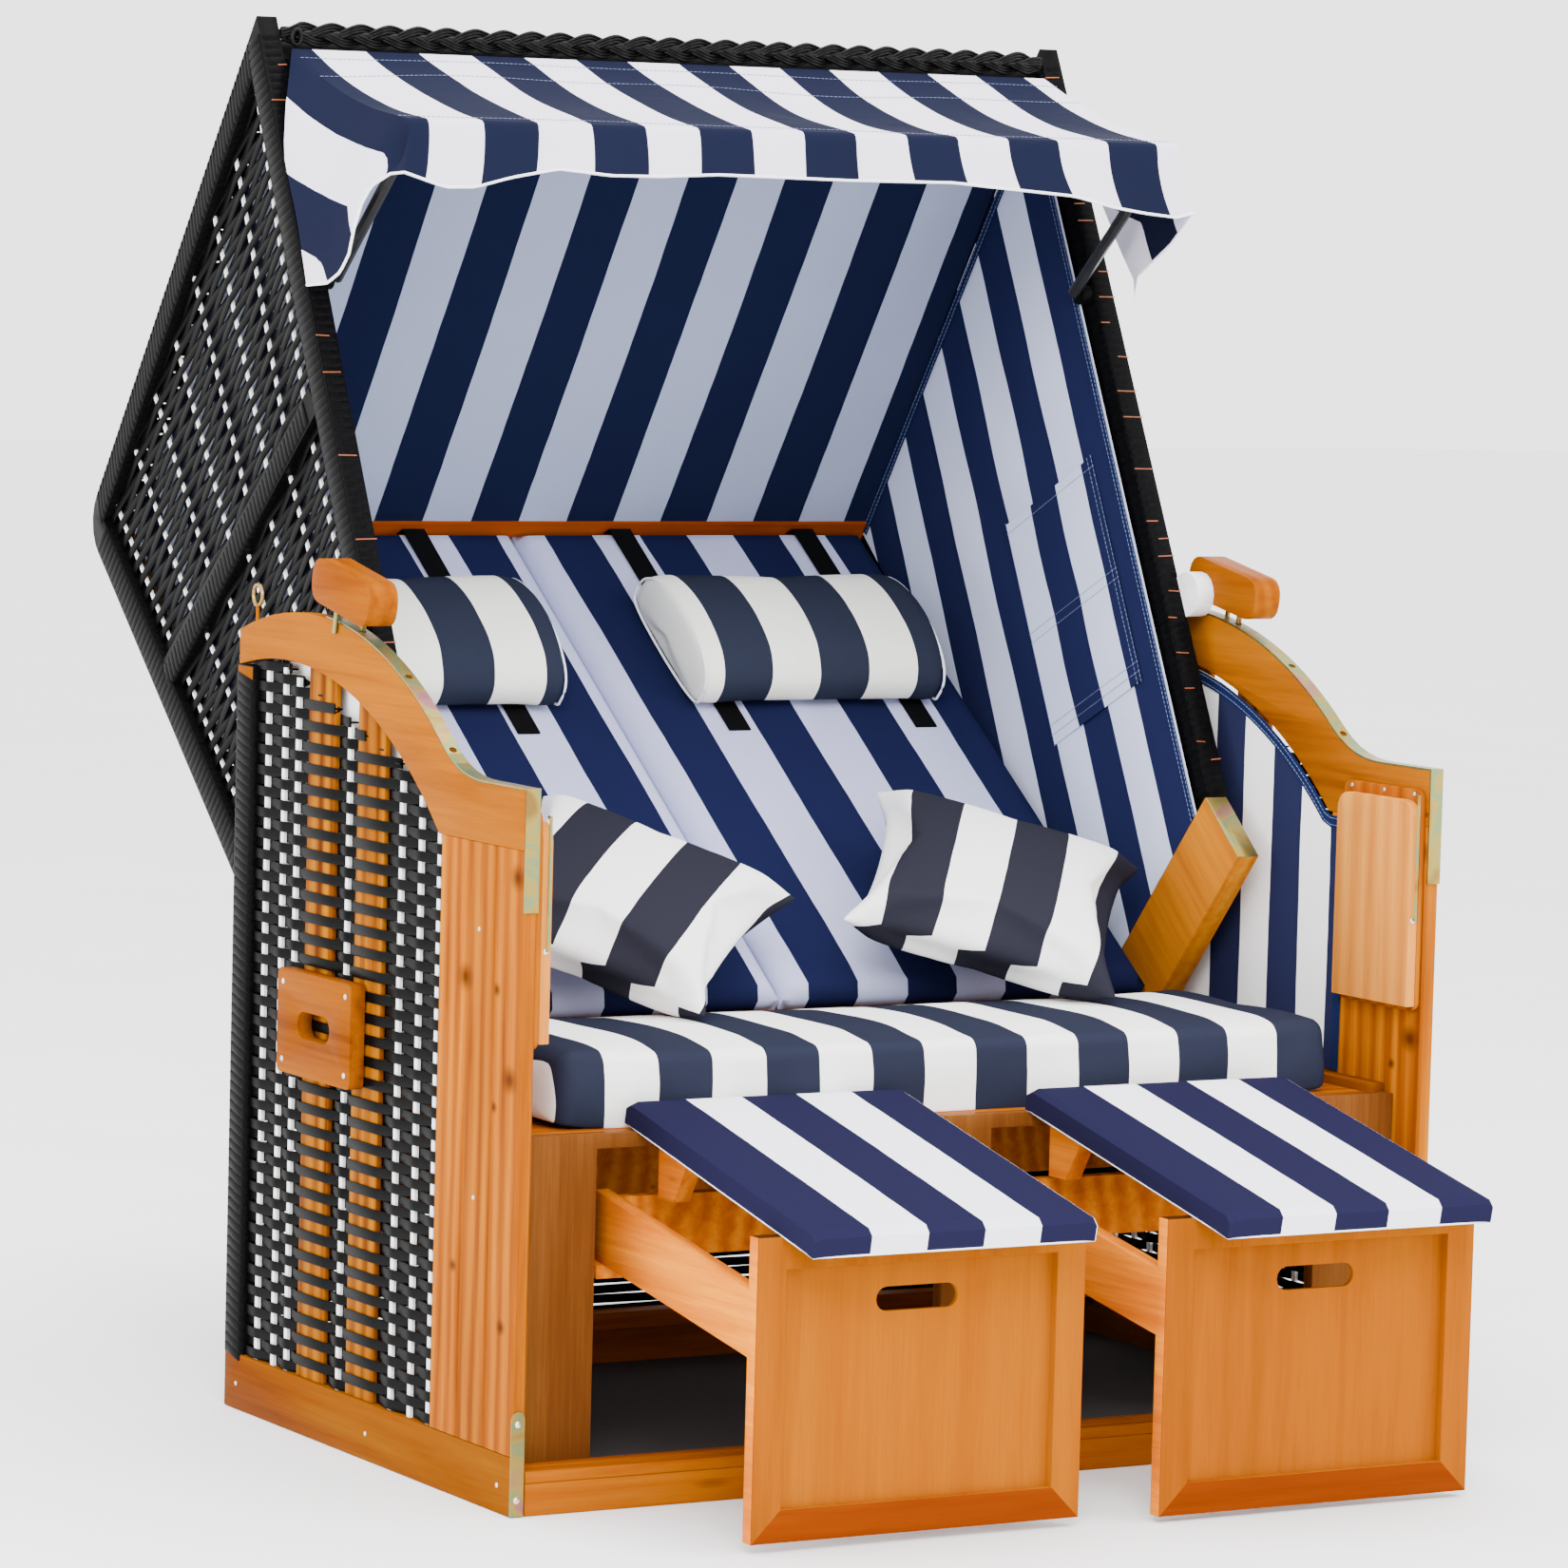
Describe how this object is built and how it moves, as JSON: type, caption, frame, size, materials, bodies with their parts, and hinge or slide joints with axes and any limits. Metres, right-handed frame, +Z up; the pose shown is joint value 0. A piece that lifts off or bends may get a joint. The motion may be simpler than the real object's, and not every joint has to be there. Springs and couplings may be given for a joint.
{
  "type": "hooded beach chair",
  "caption": "Woven two-seat beach chair with a reclining hood, awning, pull-out footrests, folding side tables and striped cushions.",
  "frame": {"origin": "floor level at the middle of the front face of the base, where the sill's front edge meets the ground", "axes": "+X to the sitter's left as seen from the front (the viewer's right), -Y out of the front of the chair, +Z up"},
  "size_m": [1.2136, 1.6138, 1.6029],
  "materials": {
    "black_resin": "flat woven strand with a low sheen",
    "black_steel": "satin black paint",
    "grey_sheet": "matt sheet",
    "lining_fabric": "woven stripes, matt",
    "pine": "oiled pine with open grain",
    "plywood": "light plywood, satin",
    "striped_fabric": "woven stripes, matt",
    "zinc_steel": "yellow zinc plating, satin"
  },
  "bodies": {
    "base": {"arm_left": "pine", "arm_right": "pine", "floor_sheet": "grey_sheet", "footrest_runners": "pine", "front_sill": "pine", "grip_plate_left": "pine", "grip_plate_right": "pine", "notch_strip_left": "zinc_steel", "notch_strip_right": "zinc_steel", "pivot_bolt_left": "zinc_steel", "pivot_bolt_right": "zinc_steel", "plinth_frame": "pine", "rear_wall": "black_resin", "seat_cushion": "striped_fabric", "seat_deck": "pine", "seat_front_frame": "pine", "seat_rail_left": "pine", "seat_rail_right": "pine", "side_planks_left": "pine", "side_planks_right": "pine", "side_slat_front_left": "pine", "side_slat_front_right": "pine", "side_slat_rear_left": "pine", "side_slat_rear_right": "pine", "side_weave_left": "black_resin", "side_weave_right": "black_resin", "sill_tread": "pine", "table_backboard_left": "plywood", "table_backboard_right": "plywood"},
    "awning_bail": {"awning_bail": "black_steel"},
    "hood": {"awning_canopy": "striped_fabric", "back_cushion_left": "striped_fabric", "back_cushion_right": "striped_fabric", "back_weave": "black_resin", "backrest_board": "plywood", "cushion_rail": "pine", "hood_foot_board_left": "pine", "hood_foot_board_right": "pine", "hood_frame_left": "black_resin", "hood_frame_right": "black_resin", "hood_liner": "lining_fabric", "hood_weave_left": "black_resin", "hood_weave_right": "black_resin", "neck_bolster_left": "striped_fabric", "neck_bolster_right": "striped_fabric", "roof_weave": "black_resin", "top_braid": "black_resin"},
    "footrest_left": {"footrest_box_left": "plywood"},
    "footrest_right": {"footrest_box_right": "plywood"},
    "footrest_pad_left": {"footrest_pad_left": "striped_fabric"},
    "footrest_pad_right": {"footrest_pad_right": "striped_fabric"},
    "handle_left": {"handle_left": "plywood"},
    "handle_right": {"handle_right": "plywood"},
    "table_left": {"table_left": "plywood"},
    "table_right": {"table_right": "plywood"},
    "table_stay_left": {"table_stay_left": "zinc_steel"},
    "table_stay_right": {"table_stay_right": "zinc_steel"},
    "throw_pillow_left": {"throw_pillow_left": "striped_fabric"},
    "throw_pillow_right": {"throw_pillow_right": "striped_fabric"}
  },
  "joints": [
    {"name": "hood_recline", "type": "hinge", "parent": "base", "child": "hood", "pos_m": [0, 0.541, 0.388], "axis": [1, 0, 0], "range_deg": [0, 27]},
    {"name": "awning_swing", "type": "hinge", "parent": "hood", "child": "awning_bail", "pos_m": [0, 0.67596, 1.3043], "axis": [1, 0, 0], "range_deg": [-65, 35], "deforming": ["awning_canopy"]},
    {"name": "handle_pull_left", "type": "slide", "parent": "hood", "child": "handle_left", "axis": [0, -0.1857, 0.9826], "range_m": [0, 0.015]},
    {"name": "footrest_slide_left", "type": "slide", "parent": "base", "child": "footrest_left", "axis": [0, 0.9885, 0.1513], "range_m": [0, 0.3237]},
    {"name": "pad_lift_left", "type": "slide", "parent": "base", "child": "footrest_pad_left", "axis": [0, -0.6544, 0.7562], "range_m": [0, 0.13771]},
    {"name": "table_fold_left", "type": "hinge", "parent": "base", "child": "table_left", "pos_m": [-0.5649, 0.005, 0.5055], "axis": [0, 1, 0], "range_deg": [0, 90]},
    {"name": "stay_turn_left", "type": "hinge", "parent": "table_left", "child": "table_stay_left", "pos_m": [-0.5649, 0.005, 0.606], "axis": [0, 1, 0], "range_deg": [-136, 0]},
    {"name": "pillow_tilt_left", "type": "hinge", "parent": "base", "child": "throw_pillow_left", "pos_m": [0, 0.225, 0.4871], "axis": [1, 0, 0], "range_deg": [0, 27.5]},
    {"name": "handle_pull_right", "type": "slide", "parent": "hood", "child": "handle_right", "axis": [0, -0.1857, 0.9826], "range_m": [0, 0.015]},
    {"name": "footrest_slide_right", "type": "slide", "parent": "base", "child": "footrest_right", "axis": [0, 0.9885, 0.1513], "range_m": [0, 0.344]},
    {"name": "pad_lift_right", "type": "slide", "parent": "base", "child": "footrest_pad_right", "axis": [0, -0.6544, 0.7562], "range_m": [0, 0.14633]},
    {"name": "table_fold_right", "type": "hinge", "parent": "base", "child": "table_right", "pos_m": [0.5649, 0.005, 0.5055], "axis": [0, -1, 0], "range_deg": [0, 90]},
    {"name": "stay_turn_right", "type": "hinge", "parent": "table_right", "child": "table_stay_right", "pos_m": [0.5649, 0.005, 0.606], "axis": [0, -1, 0], "range_deg": [-136, 0]},
    {"name": "pillow_tilt_right", "type": "hinge", "parent": "base", "child": "throw_pillow_right", "pos_m": [0, 0.225, 0.4871], "axis": [1, 0, 0], "range_deg": [0, 27.5]}
  ],
  "couplings": [
    {"joint": "pad_lift_left", "follows": "footrest_slide_left", "ratio": 0.4248},
    {"joint": "stay_turn_left", "follows": "table_fold_left", "ratio": -1.503},
    {"joint": "pillow_tilt_left", "follows": "hood_recline", "ratio": 1},
    {"joint": "pad_lift_right", "follows": "footrest_slide_right", "ratio": 0.4248},
    {"joint": "stay_turn_right", "follows": "table_fold_right", "ratio": -1.503},
    {"joint": "pillow_tilt_right", "follows": "hood_recline", "ratio": 1}
  ]
}
